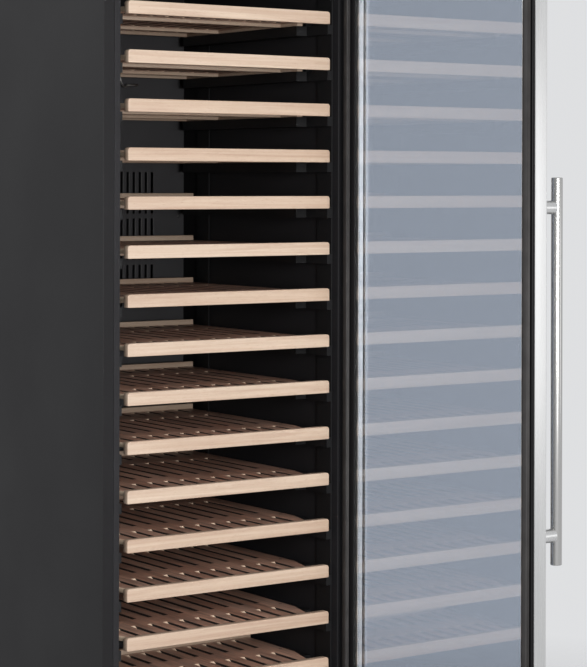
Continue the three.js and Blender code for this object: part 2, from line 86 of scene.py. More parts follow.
# ---------------------------------------------------------------- materials
class Material:
    """A Principled material, with short calls for the nodes that drive it."""

    def __init__(self, name, color, roughness, metallic=0.0, **sockets):
        self.made = bpy.data.materials.new(name)
        self.made.use_nodes = True
        self.tree = self.made.node_tree
        self.shader = self.tree.nodes["Principled BSDF"]
        self.set("Base Color", (*color, 1))
        self.set("Roughness", roughness)
        self.set("Metallic", metallic)
        for socket, value in sockets.items():
            self.set(socket.replace("_", " ").title().replace("Ior", "IOR"), value)
        self.place = self.node("ShaderNodeTexCoord").outputs["Object"]

    def node(self, kind, **settings):
        made = self.tree.nodes.new(kind)
        for key, value in settings.items():
            setattr(made, key, value)
        return made

    def set(self, socket, value):
        self.shader.inputs[socket].default_value = value

    def link(self, source, target):
        self.tree.links.new(source, target)

    def drive(self, socket, source):
        self.link(source, self.shader.inputs[socket])

    def stretched(self, stretch):
        mapping = self.node("ShaderNodeMapping")
        self.link(self.place, mapping.inputs["Vector"])
        mapping.inputs["Scale"].default_value = stretch
        return mapping.outputs[0]

    def noise(self, scale, stretch=(1, 1, 1), detail=3.0, roughness=0.55, distortion=0.0):
        made = self.node("ShaderNodeTexNoise")
        self.link(self.stretched(stretch), made.inputs["Vector"])
        for socket, value in (("Scale", scale), ("Detail", detail), ("Roughness", roughness),
                              ("Distortion", distortion)):
            made.inputs[socket].default_value = value
        return made.outputs["Fac"]

    def cells(self, scale, stretch=(1, 1, 1), output="Color"):
        made = self.node("ShaderNodeTexVoronoi")
        self.link(self.stretched(stretch), made.inputs["Vector"])
        made.inputs["Scale"].default_value = scale
        return made.outputs[output]

    def ramp(self, source, *stops):
        """stops are (place, value or colour)."""
        made = self.node("ShaderNodeValToRGB")
        elements = made.color_ramp.elements
        while len(elements) < len(stops):
            elements.new(0.5)
        for element, (place, value) in zip(elements, stops):
            element.position = place
            element.color = (*value, 1) if isinstance(value, tuple) else (value, value, value, 1)
        self.link(source, made.inputs["Fac"])
        return made.outputs["Color"]

    def math(self, operation, first, second=0.0):
        made = self.node("ShaderNodeMath", operation=operation)
        for socket, value in zip(made.inputs, (first, second)):
            if isinstance(value, (int, float)):
                socket.default_value = value
            else:
                self.link(value, socket)
        return made.outputs[0]

    def mix(self, share, first, second, blend="MIX"):
        made = self.node("ShaderNodeMix", data_type="RGBA", blend_type=blend)
        for socket, value in zip((made.inputs[0], made.inputs[6], made.inputs[7]), (share, first, second)):
            if isinstance(value, (int, float)):
                socket.default_value = value
            elif isinstance(value, tuple):
                socket.default_value = (*value, 1)
            else:
                self.link(value, socket)
        return made.outputs[2]

    def attribute(self, name):
        return self.node("ShaderNodeAttribute", attribute_name=name).outputs["Fac"]

    def bump(self, height, strength, distance, under=None):
        made = self.node("ShaderNodeBump")
        made.inputs["Strength"].default_value = strength
        made.inputs["Distance"].default_value = distance
        self.link(height, made.inputs["Height"])
        if under is not None:
            self.link(under, made.inputs["Normal"])
        self.drive("Normal", made.outputs[0])
        return made.outputs[0]


def painted(name, color, roughness, grain=1100, depth=0.00006, **sockets):
    """Powder coat or moulded plastic: a fine pebbled surface, with patches a little glossier than others."""
    look = Material(name, color, roughness, **sockets)
    patches = look.noise(5.0, detail=4.0)
    tint = look.ramp(patches, (0.3, tuple(c * 0.9 for c in color)), (0.7, tuple(c * 1.1 for c in color)))
    look.drive("Base Color", tint)
    look.drive("Roughness", look.ramp(patches, (0.25, roughness - 0.05), (0.75, roughness + 0.05)))
    look.bump(look.noise(grain, detail=2.0), 0.35, depth)
    return look.made


def brushed(name, color, along, roughness=0.26):
    """Stainless steel brushed along one axis, with long fine scratches and broad cloudy bands."""
    look = Material(name, color, roughness, 1.0)
    fine = [2600.0] * 3
    fine[along] = 14.0
    broad = [60.0] * 3
    broad[along] = 1.5
    scratches = look.noise(1.0, tuple(fine), detail=2.0)
    clouds = look.noise(1.0, tuple(broad), detail=3.0)
    tone = look.mix(0.5, scratches, clouds)
    look.drive("Base Color", look.ramp(tone, (0.3, tuple(c * 0.93 for c in color)), (0.7, color)))
    look.drive("Roughness", look.ramp(tone, (0.3, roughness - 0.06), (0.7, roughness + 0.08)))
    look.bump(scratches, 0.12, 0.00002)
    return look.made


def beech():
    """Pale oiled beech with its grain along X: soft growth bands, short dark flecks and a faint pink cast."""
    look = Material("beech", (0.443, 0.34, 0.26), 0.5)
    tone = look.attribute("tone")
    bands = look.noise(1.0, (3.0, 60.0, 110.0), detail=5.0, roughness=0.6, distortion=0.8)
    pale, warm = (0.49, 0.39, 0.305), (0.385, 0.275, 0.205)
    wood = look.ramp(bands, (0.32, warm), (0.52, (0.443, 0.34, 0.26)), (0.72, pale))
    flecks = look.noise(1.0, (95.0, 700.0, 900.0), detail=2.0)
    marks = look.ramp(flecks, (0.62, 0.0), (0.72, 0.45))
    flecked = look.mix(marks, wood, (0.28, 0.18, 0.125))
    darker = look.mix(tone, flecked, (0.86, 0.80, 0.76), "MULTIPLY")
    look.drive("Base Color", darker)
    look.drive("Roughness", look.ramp(bands, (0.3, 0.44), (0.7, 0.56)))
    fibres = look.bump(look.noise(1.0, (60.0, 1500.0, 1500.0), detail=2.0), 0.25, 0.00008)
    look.bump(flecks, 0.12, 0.00005, fibres)
    return look.made


def cut_wood():
    """Freshly cut beech, paler than the oiled trims, with rough fibres."""
    look = Material("cut_wood", (0.80, 0.63, 0.47), 0.7)
    rough = look.noise(1.0, (500.0, 220.0, 500.0), detail=3.0)
    look.drive("Base Color", look.ramp(rough, (0.3, (0.70, 0.52, 0.37)), (0.7, (0.86, 0.70, 0.54))))
    look.bump(rough, 0.3, 0.0001)
    return look.made


def stained():
    """Brown-stained deck wood with its grain along Y and open pores, with grey streaks of painted sheen mixed
    into its colour.
    """
    look = Material("stained_wood", (0.12, 0.06, 0.04), 0.42, coat_weight=0.25, coat_roughness=0.35)
    tone = look.attribute("tone")
    bands = look.noise(1.0, (130.0, 5.0, 130.0), detail=5.0, roughness=0.65, distortion=1.0)
    dark, warm = (0.33, 0.20, 0.15), (0.72, 0.42, 0.30)
    wood = look.ramp(bands, (0.36, dark), (0.50, (0.54, 0.33, 0.245)), (0.66, warm))
    pores = look.ramp(look.noise(1.0, (1400.0, 45.0, 1400.0), detail=2.0), (0.60, 0.0), (0.70, 0.6))
    porous = look.mix(pores, wood, (0.13, 0.075, 0.055))
    # Grey streaks along the slats: painted sheen, standing in for the light the rounded slat tops reflect.
    painted_sheen = look.ramp(look.noise(1.0, (50.0, 9.0, 50.0), detail=3.0), (0.45, 0.0), (0.75, 0.38))
    with_painted_sheen = look.mix(painted_sheen, porous, (0.34, 0.29, 0.265))
    look.drive("Base Color", look.mix(tone, with_painted_sheen, (0.76, 0.70, 0.68), "MULTIPLY"))
    look.drive("Roughness", look.ramp(bands, (0.3, 0.36), (0.7, 0.52)))
    look.bump(pores, 0.2, 0.0001)
    return look.made


def glass(name, color):
    """Polished pane. It lets light through and mirrors what stands beside it."""
    look = Material(name, color, 0.0, ior=1.52, transmission_weight=1.0)
    smears = look.noise(9.0, (1, 1, 0.4), detail=4.0, distortion=0.6)
    look.drive("Roughness", look.ramp(smears, (0.45, 0.0), (0.8, 0.035)))
    return look.made


def galvanised():
    look = Material("galvanised", (0.42, 0.43, 0.44), 0.42, 0.85)
    spangle = look.cells(140.0)
    look.drive("Base Color", look.mix(0.16, (0.42, 0.43, 0.44), spangle, "OVERLAY"))
    look.drive("Roughness", look.ramp(look.cells(140.0, output="Distance"), (0.0, 0.34), (0.6, 0.5)))
    look.bump(look.noise(70.0), 0.1, 0.0001)
    return look.made


def bare_metal(name, color, roughness):
    look = Material(name, color, roughness, 1.0)
    cloud = look.noise(45.0, detail=5.0)
    look.drive("Base Color", look.ramp(cloud, (0.3, tuple(c * 0.82 for c in color)), (0.7, color)))
    look.drive("Roughness", look.ramp(cloud, (0.3, roughness - 0.08), (0.7, roughness + 0.12)))
    look.bump(look.noise(900.0), 0.1, 0.00003)
    return look.made


def spacer_metal():
    """Mill-finish aluminium spacer bar with a row of small vent holes along it, drawn as near-black dots of
    painted shade with a slight dent.
    """
    look = Material("spacer_aluminium", (0.83, 0.83, 0.82), 0.3, 1.0)
    parts = look.node("ShaderNodeSeparateXYZ")
    look.link(look.place, parts.inputs[0])
    across, along = parts.outputs["X"], look.math("ADD", parts.outputs["Y"], parts.outputs["Z"])
    repeat = look.math("FRACT", look.math("MULTIPLY", along, 278.0))
    row = look.math("ABSOLUTE", look.math("SUBTRACT", repeat, 0.5))
    centre = look.math("ABSOLUTE", look.math("SUBTRACT", across, SPACER_SEAM_X))
    hole = look.math("MULTIPLY", look.math("LESS_THAN", row, 0.22), look.math("LESS_THAN", centre, 0.0007))
    plain = look.ramp(look.noise(60.0), (0.3, 0.72), (0.7, 0.86))
    # Near-black dots: painted shade for the vent holes, which are not cut.
    look.drive("Base Color", look.mix(hole, plain, (0.04, 0.04, 0.04)))
    look.bump(hole, -0.6, 0.0003)
    return look.made


def rubber():
    look = Material("seal_rubber", (0.028, 0.026, 0.026), 0.6, specular_ior_level=0.35)
    dust = look.noise(30.0, detail=6.0)
    look.drive("Base Color", look.ramp(dust, (0.35, (0.023, 0.0215, 0.0215)), (0.75, (0.036, 0.0335, 0.033))))
    look.bump(look.noise(1400.0), 0.3, 0.00004)
    return look.made


def foam():
    look = Material("foam", (0.79, 0.70, 0.39), 0.95)
    bubbles = look.cells(420.0, output="Distance")
    look.drive("Base Color", look.ramp(bubbles, (0.0, (0.62, 0.52, 0.26)), (0.5, (0.82, 0.73, 0.43))))
    look.bump(bubbles, 0.5, 0.0006)
    return look.made


def diffuser():
    look = Material("opal_diffuser", (0.86, 0.86, 0.83), 0.4, subsurface_weight=0.2)
    look.drive("Base Color", look.ramp(look.noise(25.0), (0.3, (0.80, 0.80, 0.77)), (0.7, (0.9, 0.9, 0.87))))
    look.bump(look.noise(1.0, (900.0, 4.0, 4.0)), 0.2, 0.0001)
    return look.made


# ---------------------------------------------------------------- mesh helpers
def add_box(bm, low, high, round_by=0.0, steps=2):
    low, high = Vector(low), Vector(high)
    place = Matrix.Translation((low + high) / 2) @ Matrix.Diagonal((*(high - low), 1))
    made = bmesh.ops.create_cube(bm, size=1, matrix=place)
    if round_by:
        edges = {edge for vert in made["verts"] for edge in vert.link_edges}
        bmesh.ops.bevel(bm, geom=list(edges), offset=round_by, segments=steps, affect="EDGES", profile=0.5)


def add_turned(bm, profile, place, sides=48):
    """Turns (radius, height) points about the local Z axis of place. The profile starts and ends at radius 0."""
    rings = []
    for radius, height in profile:
        if radius == 0:
            rings.append([bm.verts.new(place @ Vector((0, 0, height)))])
            continue
        angles = [2 * math.pi * k / sides for k in range(sides)]
        rings.append([bm.verts.new(place @ Vector((radius * math.cos(a), radius * math.sin(a), height)))
                      for a in angles])
    for lower, upper in zip(rings, rings[1:]):
        for k in range(sides):
            corners = [lower[k % len(lower)], lower[(k + 1) % len(lower)],
                       upper[(k + 1) % len(upper)], upper[k % len(upper)]]
            unique = list(dict.fromkeys(corners))
            if len(unique) > 2:
                bm.faces.new(unique)


def arc(middle, radius, start, end, steps):
    """Points on an arc, with its angles in degrees."""
    angles = [math.radians(start + (end - start) * k / steps) for k in range(steps + 1)]
    return [(middle[0] + radius * math.cos(a), middle[1] + radius * math.sin(a)) for a in angles]


def mesh_of(name, bm, materials, smooth=40):
    bmesh.ops.recalc_face_normals(bm, faces=bm.faces)
    mesh = bpy.data.meshes.new(name)
    bm.to_mesh(mesh)
    bm.free()
    for look in materials:
        mesh.materials.append(look)
    mesh.shade_smooth()
    mesh.set_sharp_from_angle(angle=math.radians(smooth))
    return mesh


def piece(name, mesh, body, stands_for=()):
    obj = bpy.data.objects.new(name, mesh)
    SCENE.collection.objects.link(obj)
    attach(obj, body)
    if stands_for:
        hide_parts(*stands_for)
    return obj


def single(name, bm, look, body, stands_for=(), smooth=40):
    """A piece of one material."""
    return piece(name, mesh_of(name, bm, [look], smooth), body, stands_for)


def rounded_edges(obj, width, steps=2):
    """Joins a faceted solid's split corners and rounds its edges."""
    weld = obj.modifiers.new("weld", "WELD")
    weld.merge_threshold = 0.00002
    bevel = obj.modifiers.new("bevel", "BEVEL")
    bevel.width = width
    bevel.segments = steps
    bevel.limit_method = "ANGLE"
    bevel.angle_limit = math.radians(35)
    bevel.harden_normals = True


def keep(node, look, width=0.0):
    """Shows a CAD node as it is, with a finish and lightly rounded edges."""
    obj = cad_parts[node]
    obj.data.materials.clear()
    obj.data.materials.append(look)
    if width:
        rounded_edges(obj, width)


# ---------------------------------------------------------------- shelves
SHELF_COUNT = sum(name.startswith("shelf_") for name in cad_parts)
TRIM_HALF = 240.5
TRIM_THICK = 16.0
TRIM_HEIGHT = 25.6
DECK_TOP = -7.5
DECK_THICK = 10.0
DECK_HALF = 235.0
DECK_FRONT_HALF = 208.0
DECK_CORNER_Y = TRIM_THICK + 98
SLOT_PITCH = 37.7
SLOT_WIDTH = 9.0
SLOT_COUNT = 11
SLOT_RUNS = ((TRIM_THICK, 128.0), (187.0, 390.0), (452.0, 514.0))
RAMP_LENGTH = 13.0
RAMP_DROP = 7.5
BATTEN = 24.0
BATTENS = (151.0, 392.0)
REAR_BAR = 12.0
REAR_BAR_TOP = DECK_TOP + 10.5
RUNNER = 14.0
RUNNER_START = 90.0
RUNNER_BOTTOM = -25.0


def shelf_frame(name):
    """The matrix from a shelf's own millimetres, measured from its trim's top front edge, to the room."""
    low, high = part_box(name)
    top = low.z + TRIM_HEIGHT * MM
    return Matrix.Translation((MID_X, low.y, top)) @ Matrix.Scale(MM, 4)


def shelf_length(name):
    low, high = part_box(name)
    return (high.y - low.y) / MM


def trim_mesh(material):
    """Front board with softly rounded upper corners, tighter lower ones and a fine chamfer all round."""
    upper, lower, steps = 5.5, 2.0, 6
    outline = (arc((TRIM_HALF - upper, -upper), upper, 0, 90, steps)
               + arc((upper - TRIM_HALF, -upper), upper, 90, 180, steps)
               + arc((lower - TRIM_HALF, lower - TRIM_HEIGHT), lower, 180, 270, steps)
               + arc((TRIM_HALF - lower, lower - TRIM_HEIGHT), lower, 270, 360, steps))
    bm = bmesh.new()
    front = bm.faces.new([bm.verts.new((x, 0, z)) for x, z in outline])
    grown = bmesh.ops.extrude_face_region(bm, geom=[front])
    back = [v for v in grown["geom"] if isinstance(v, bmesh.types.BMVert)]
    bmesh.ops.translate(bm, verts=back, vec=(0, TRIM_THICK, 0))
    rims = [e for e in bm.edges if abs(e.verts[0].co.y - e.verts[1].co.y) < 0.1]
    bmesh.ops.bevel(bm, geom=rims, offset=0.9, segments=2, affect="EDGES", profile=0.5)
    return mesh_of("trim", bm, [material], 50)


def deck_mesh(length, materials):
    """Slotted deck: slats and cross bands in one plane, with bare wood at the slot ends and outer edge, and
    painted shade on the slot walls.
    """
    back = length - REAR_BAR
    runs = [(start, min(end, back - SLOT_WIDTH)) for start, end in SLOT_RUNS if start + SLOT_PITCH < back]
    slot_edges = [(k - (SLOT_COUNT - 1) / 2) * SLOT_PITCH + side * SLOT_WIDTH / 2
                  for k in range(SLOT_COUNT) for side in (-1, 1)]
    columns = [-DECK_HALF, *slot_edges, DECK_HALF]
    rows = sorted({TRIM_THICK, DECK_CORNER_Y, back, *(y for run in runs for y in run)})

    def corner(x, y):
        if abs(x) == DECK_HALF and y < DECK_CORNER_Y:
            return math.copysign(DECK_FRONT_HALF, x), y
        return x, y

    def is_open(i, j):
        return i % 2 == 1 and any(start <= rows[j] and rows[j + 1] <= end for start, end in runs)

    bm = bmesh.new()
    levels = [DECK_TOP, DECK_TOP - DECK_THICK]
    verts = [[[bm.verts.new((*corner(x, y), z)) for y in rows] for x in columns] for z in levels]
    filled = {(i, j) for i in range(len(columns) - 1) for j in range(len(rows) - 1) if not is_open(i, j)}
    for i, j in sorted(filled):
        for grid in verts:
            bm.faces.new((grid[i][j], grid[i + 1][j], grid[i + 1][j + 1], grid[i][j + 1]))
        sides = {(i - 1, j): ((i, j), (i, j + 1)), (i + 1, j): ((i + 1, j), (i + 1, j + 1)),
                 (i, j - 1): ((i, j), (i + 1, j)), (i, j + 1): ((i, j + 1), (i + 1, j + 1))}
        for beside, ((a, b), (c, d)) in sides.items():
            if beside not in filled:
                bm.faces.new((verts[0][a][b], verts[0][c][d], verts[1][c][d], verts[1][a][b]))
    bmesh.ops.delete(bm, geom=[v for v in bm.verts if not v.link_faces], context="VERTS")
    bmesh.ops.recalc_face_normals(bm, faces=bm.faces)
    rims = [e for e in bm.edges if len(e.link_faces) == 2 and e.calc_face_angle(0) > 0.8
            and max(v.co.z for v in e.verts) > DECK_TOP - 1 and abs(e.verts[0].co.z - e.verts[1].co.z) < 1]
    bmesh.ops.bevel(bm, geom=rims, offset=2.2, segments=3, affect="EDGES", profile=0.5, clamp_overlap=True)
    for face in bm.faces:
        normal = face.normal
        outer = abs(face.calc_center_median().x) > columns[-2] + 1
        if outer and abs(normal.x) > 0.5 or normal.y < -0.5:
            face.material_index = 1
        # Upright faces inside the slots get the near-black material: painted shade in the slots.
        elif abs(normal.z) < 0.75 and not outer:
            face.material_index = 2
    for start, end in runs:
        for k in range(1, len(columns) - 1, 2):
            add_ramp(bm, columns[k] + 0.1, columns[k + 1] - 0.1, end)
    return mesh_of("deck", bm, materials, 50)


def add_ramp(bm, left, right, end):
    """The run-out of the cutter at the back end of a slot: a ramp of bare wood."""
    outline = ((end + 0.5, DECK_TOP - 0.3), (end - RAMP_LENGTH, DECK_TOP - RAMP_DROP),
               (end - RAMP_LENGTH, DECK_TOP - DECK_THICK + 1), (end + 0.5, DECK_TOP - DECK_THICK + 1))
    near = [bm.verts.new((left, y, z)) for y, z in outline]
    far = [bm.verts.new((right, y, z)) for y, z in outline]
    faces = [bm.faces.new(near), bm.faces.new(reversed(far))]
    faces += [bm.faces.new((near[k], far[k], far[(k + 1) % 4], near[(k + 1) % 4])) for k in range(4)]
    for face in faces:
        face.material_index = 1


def carcass_mesh(length, material):
    """The runners and battens below the deck, and the bar across its back."""
    bm = bmesh.new()
    under = DECK_TOP - DECK_THICK
    back = length - REAR_BAR
    for side in (-1, 1):
        inner, outer = sorted((side * DECK_HALF, side * (DECK_HALF - RUNNER)))
        add_box(bm, (inner, RUNNER_START, RUNNER_BOTTOM), (outer, back, under), 1.0)
    for front in BATTENS:
        if front + BATTEN < back:
            add_box(bm, (RUNNER - DECK_HALF, front, RUNNER_BOTTOM),
                    (DECK_HALF - RUNNER, front + BATTEN, under), 1.0)
    add_box(bm, (-TRIM_HALF, back, RUNNER_BOTTOM), (TRIM_HALF, length, REAR_BAR_TOP), 1.5, 3)
    return mesh_of("carcass", bm, [material], 50)


def screws_mesh(length, material):
    """Countersunk screws on the two edges of the deck."""
    bm = bmesh.new()
    spots = [y for y in (150.0, 389.0) if y < length]
    for side in (-1, 1):
        for y in spots:
            place = Matrix.Translation((side * (DECK_HALF - 12), y, DECK_TOP))
            head = [(0, -0.5), (1.1, -0.5), (1.3, 0.05), (3.3, 0.25), (3.6, -0.2), (3.0, -2.4), (0, -2.4)]
            add_turned(bm, head, place, 20)
    return mesh_of("screws", bm, [material], 30)


def set_tone(mesh, value_at):
    values = [value_at(vert.co) for vert in mesh.vertices]
    mesh.attributes.new("tone", "FLOAT", "POINT").data.foreach_set("value", values)


def build_shelves(looks):
    templates = {}
    for index in range(SHELF_COUNT):
        name = f"shelf_{index + 1:02d}"
        length = round(shelf_length(name))
        if length not in templates:
            templates[length] = {
                "trim": (trim_mesh(looks["beech"]), "beech"),
                "deck": (deck_mesh(length, [looks["stained"], looks["cut_wood"], looks["slot"]]), "beech"),
                "runners": (carcass_mesh(length, looks["beech"]), "beech"),
                "screws": (screws_mesh(length, looks["dark_metal"]), "chassis"),
            }
        place = shelf_frame(name)
        tone = DICE.random() * 0.9
        slat_tones = [DICE.random() for _ in range(SLOT_COUNT + 1)]
        for part, (template, slot) in templates[length].items():
            mesh = template.copy()
            if part == "deck":
                set_tone(mesh, lambda co: slat_tones[min(SLOT_COUNT, int(max(0, co.x / SLOT_PITCH + 6)))])
            else:
                set_tone(mesh, lambda co: tone)
            mesh.transform(place)
            piece(f"{name}_{part}", mesh, f"{name}_slide_body", (name,) if part == "trim" else ())


# ---------------------------------------------------------------- door
SKIN_LOW, SKIN_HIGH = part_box("door_skin")
INNER_LOW, INNER_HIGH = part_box("door_inner_frame")
GASKET_LOW, GASKET_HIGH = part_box("door_gasket")
PANE_LOW, PANE_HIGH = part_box("glass_inner")
SPACER_LOW, SPACER_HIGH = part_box("glass_spacer")
SPACER_SEAM_X = SPACER_LOW.x + 0.0012
OUTER_BORDER = 45.0
INNER_BORDER = 38.0
SHEET = 1.5


def door_point(across, depth, z):
    """A place on the open door: millimetres from its middle, and below its inner face; z in metres."""
    return Vector((INNER_LOW.x + depth * MM, (SKIN_LOW.y + SKIN_HIGH.y) / 2 + across * MM, z))


def outline_at(low, high, inset):
    """The four corners of a rectangle round the door, inset in millimetres from the box low to high."""
    half = (high.y - low.y) / MM / 2 - inset
    bottom, top = low.z + inset * MM, high.z - inset * MM
    return [(-half, bottom), (half, bottom), (half, top), (-half, top)]


def add_mitred(bm, profile, low, high, sides=(0, 1, 2, 3), seam=0.0):
    """Sweeps a closed (inset, depth) profile round a rectangle, as one loop or as mitred bars with a seam."""
    corners = [outline_at(low, high, inset) for inset, depth in profile]
    if not seam:
        loops = [[bm.verts.new(door_point(a, depth, z)) for a, z in ring]
                 for ring, (inset, depth) in zip(corners, profile)]
        for first, second in zip(loops, loops[1:] + loops[:1]):
            for k in sides:
                n = (k + 1) % 4
                bm.faces.new((first[k], first[n], second[n], second[k]))
        return
    for k in sides:
        ends = []
        for towards, corner in ((1, k), (-1, (k + 1) % 4)):
            shift = (seam * towards, 0) if k == 0 else (0, seam * towards) if k == 1 else (
                (-seam * towards, 0) if k == 2 else (0, -seam * towards))
            ends.append([bm.verts.new(door_point(ring[corner][0] + shift[0], depth,
                                                 ring[corner][1] + shift[1] * MM))
                         for ring, (inset, depth) in zip(corners, profile)])
        for i in range(len(profile)):
            j = (i + 1) % len(profile)
            bm.faces.new((ends[0][i], ends[0][j], ends[1][j], ends[1][i]))
        for end in ends:
            bm.faces.new(end)


def build_door(looks):
    thick = (SKIN_HIGH.x - INNER_LOW.x) / MM
    skin_back = (SKIN_LOW.x - INNER_LOW.x) / MM
    corner = 2.0
    steel = ([(0, skin_back)] + [(corner - corner * math.cos(a), thick - corner + corner * math.sin(a))
                                 for a in (math.pi / 2 * k / 5 for k in range(6))]
             + [(OUTER_BORDER - 0.6, thick), (OUTER_BORDER, thick - 0.5), (OUTER_BORDER, thick - SHEET),
                (corner, thick - SHEET), (SHEET, thick - corner), (SHEET, skin_back)])
    for name, sides, look, stands_for in (
            ("door_steel_stiles", (1, 3), looks["steel_upright"], ("door_skin",)),
            ("door_steel_rails", (0, 2), looks["steel_level"], ())):
        bm = bmesh.new()
        add_mitred(bm, steel, SKIN_LOW, SKIN_HIGH, sides, seam=0.12)
        single(name, bm, look, "door", stands_for)

    edge = (SKIN_HIGH.y - INNER_HIGH.y) / MM
    seat = (PANE_LOW.x - INNER_LOW.x) / MM - 0.3
    inner = [(0, seat), (0, 0.9), (0.9, 0), (3.2, 0), (3.7, 0.7), (4.9, 0.7), (5.4, 0), (9.0, 0), (9.5, 1.3),
             (23.4, 1.3), (23.9, 0), (31.5, 0), (32.2, 0.5), (32.9, 0), (34.0, 0.1), (35.8, 1.9),
             (INNER_BORDER - edge - 0.4, seat - 0.4), (INNER_BORDER - edge, seat)]
    bm = bmesh.new()
    add_mitred(bm, inner, INNER_LOW, INNER_HIGH)
    single("door_inner_border", bm, looks["frame_plastic"], "door", ("door_inner_frame",))
    core_inset = (INNER_HIGH.y - PANE_HIGH.y) / MM - 0.3
    core_back = thick - SHEET - 0.3
    core = [(0, seat + 0.01), (core_inset, seat + 0.01), (core_inset, core_back), (0, core_back)]
    bm = bmesh.new()
    add_mitred(bm, core, INNER_LOW, INNER_HIGH)
    single("door_frame_core", bm, looks["frame_plastic"], "door")

    proud = (GASKET_LOW.x - INNER_LOW.x) / MM
    wide = 12.0
    half_seal = [(1.0, -0.3), (0.2, -1.0), (0.1, -1.6), (1.3, -2.6), (1.3, -3.0), (0.2, -4.0), (0.1, -4.6),
                 (1.2, -5.6), (1.2, -6.0), (0.1, -6.7), (0, proud + 0.7), (0.7, proud)]
    seal = half_seal + [(wide - inset, depth) for inset, depth in reversed(half_seal)]
    bm = bmesh.new()
    add_mitred(bm, seal, GASKET_LOW, GASKET_HIGH)
    single("door_seal", bm, looks["rubber"], "door", ("door_gasket",), 60)

    near = (SPACER_LOW.x - INNER_LOW.x) / MM
    far = (SPACER_HIGH.x - INNER_LOW.x) / MM
    bar = 11.0
    section = [(0, near), (bar - 0.7, near), (bar, near + 0.7), (bar, near + 3.4), (bar - 0.6, near + 4.0),
               (bar - 0.6, far - 4.0), (bar, far - 3.4), (bar, far - 0.7), (bar - 0.7, far), (0, far)]
    bm = bmesh.new()
    add_mitred(bm, section, SPACER_LOW, SPACER_HIGH)
    single("glass_spacer_bar", bm, looks["spacer"], "door", ("glass_spacer",))
    keep("glazing_tape", looks["rubber"], 0.0003)
    for node, look in (("glass_inner", "clear_glass"), ("glass_outer", "tinted_glass")):
        keep(node, looks[look], 0.0004)
        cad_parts[node].visible_shadow = False


def build_handle(looks):
    low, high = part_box("handle_bar")
    radius = (high.x - low.x) / 2
    middle = (low + high) / 2
    half = (high.z - low.z) / 2
    soft = 0.0018
    end = [(radius - soft + soft * math.sin(a), half - soft + soft * math.cos(a))
           for a in (math.pi / 2 * k / 4 for k in range(5))]
    profile = [(0, -half)] + [(r, -h) for r, h in end] + [(r, h) for r, h in reversed(end)] + [(0, half)]
    bm = bmesh.new()
    add_turned(bm, profile, Matrix.Translation(middle), 64)
    single("handle_bar_brushed", bm, looks["steel_bar"], "door", ("handle_bar",))
    for name in ("handle_standoff_top", "handle_standoff_bottom"):
        build_standoff(name, middle, radius, looks)


def build_standoff(name, bar_middle, bar_radius, looks):
    """A short round post from the door to the bar, hollowed at its end to cup the bar."""
    low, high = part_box(name)
    radius = (high.z - low.z) / 2
    z = (low.z + high.z) / 2
    reach = bar_radius + 0.0003
    near = min(low.x, high.x)
    sides = 64

    def cup(dy):
        return bar_middle.x - max(bar_radius - 0.003, math.sqrt(max(0.0, reach * reach - dy * dy)))

    soft = 0.0008
    bm = bmesh.new()
    loops = []
    for r, x in ((0.0, near), (radius - soft, near), (radius, near + soft)):
        loops.append([bm.verts.new((x, bar_middle.y + r * math.sin(2 * math.pi * k / sides),
                                    z + r * math.cos(2 * math.pi * k / sides))) for k in range(sides)])
    for share, lift in ((1.0, soft), (0.94, 0.0), (0.7, 0.0), (0.45, 0.0), (0.2, 0.0), (0.0, 0.0)):
        r = radius * share
        ring = []
        for k in range(sides):
            dy = r * math.sin(2 * math.pi * k / sides)
            ring.append(bm.verts.new((cup(dy) - lift, bar_middle.y + dy,
                                      z + r * math.cos(2 * math.pi * k / sides))))
        loops.append(ring)
    for first, second in zip(loops, loops[1:]):
        for k in range(sides):
            n = (k + 1) % sides
            bm.faces.new((first[k], first[n], second[n], second[k]))
    bmesh.ops.remove_doubles(bm, verts=bm.verts, dist=0.00001)
    piece(f"{name}_post", mesh_of(name, bm, [looks["steel_upright"]], 40), "door", (name,))


# ---------------------------------------------------------------- small fasteners
def screw(bm, at, facing, radius=0.0035):
    """Pan-head screw with a cross recess suggested by a sunk centre."""
    turn = Vector((0, 0, 1)).rotation_difference(Vector(facing)).to_matrix().to_4x4()
    r, lift = radius, 0.0018
    add_turned(bm, [(0, -0.0002), (r * 0.98, -0.0002), (r, 0.0004), (r * 0.86, lift * 0.75), (r * 0.5, lift),
                    (r * 0.28, lift * 0.95), (r * 0.22, lift * 0.45), (0, lift * 0.4)],
               Matrix.Translation(at) @ turn, 24)


# How far the back panel's screws are let in, which keeps their heads inside the cabinet's depth.
SCREW_SUNK = 0.0005


def build_screws(looks):
    bm = bmesh.new()
    low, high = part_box("back_panel")
    for x in (low.x + 0.012, 0.5 * (low.x + high.x), high.x - 0.012):
        for k in range(6):
            screw(bm, (x, high.y - SCREW_SUNK, low.z + 0.02 + k * (high.z - low.z - 0.04) / 5), (0, 1, 0))
    single("back_panel_screws", bm, looks["dark_metal"], "cabinet")
    bm = bmesh.new()
    low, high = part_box("evaporator_cover")
    for x in (low.x + 0.014, high.x - 0.014):
        for k in range(4):
            screw(bm, (x, low.y, low.z + 0.05 + k * (high.z - low.z - 0.1) / 3), (0, -1, 0))
    single("cover_screws", bm, looks["dark_metal"], "cabinet")
    bm = bmesh.new()
    low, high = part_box("hinge_bracket_top")
    for y in (FRONT_Y + 0.012, high.y - 0.010):
        screw(bm, ((low.x + high.x) / 2, y, high.z - 0.0018), (0, 0, 1), 0.0045)
    single("bracket_screws", bm, looks["bright_metal"], "cabinet")


# ---------------------------------------------------------------- stage and light
FLOOR_RADIUS = 7.0


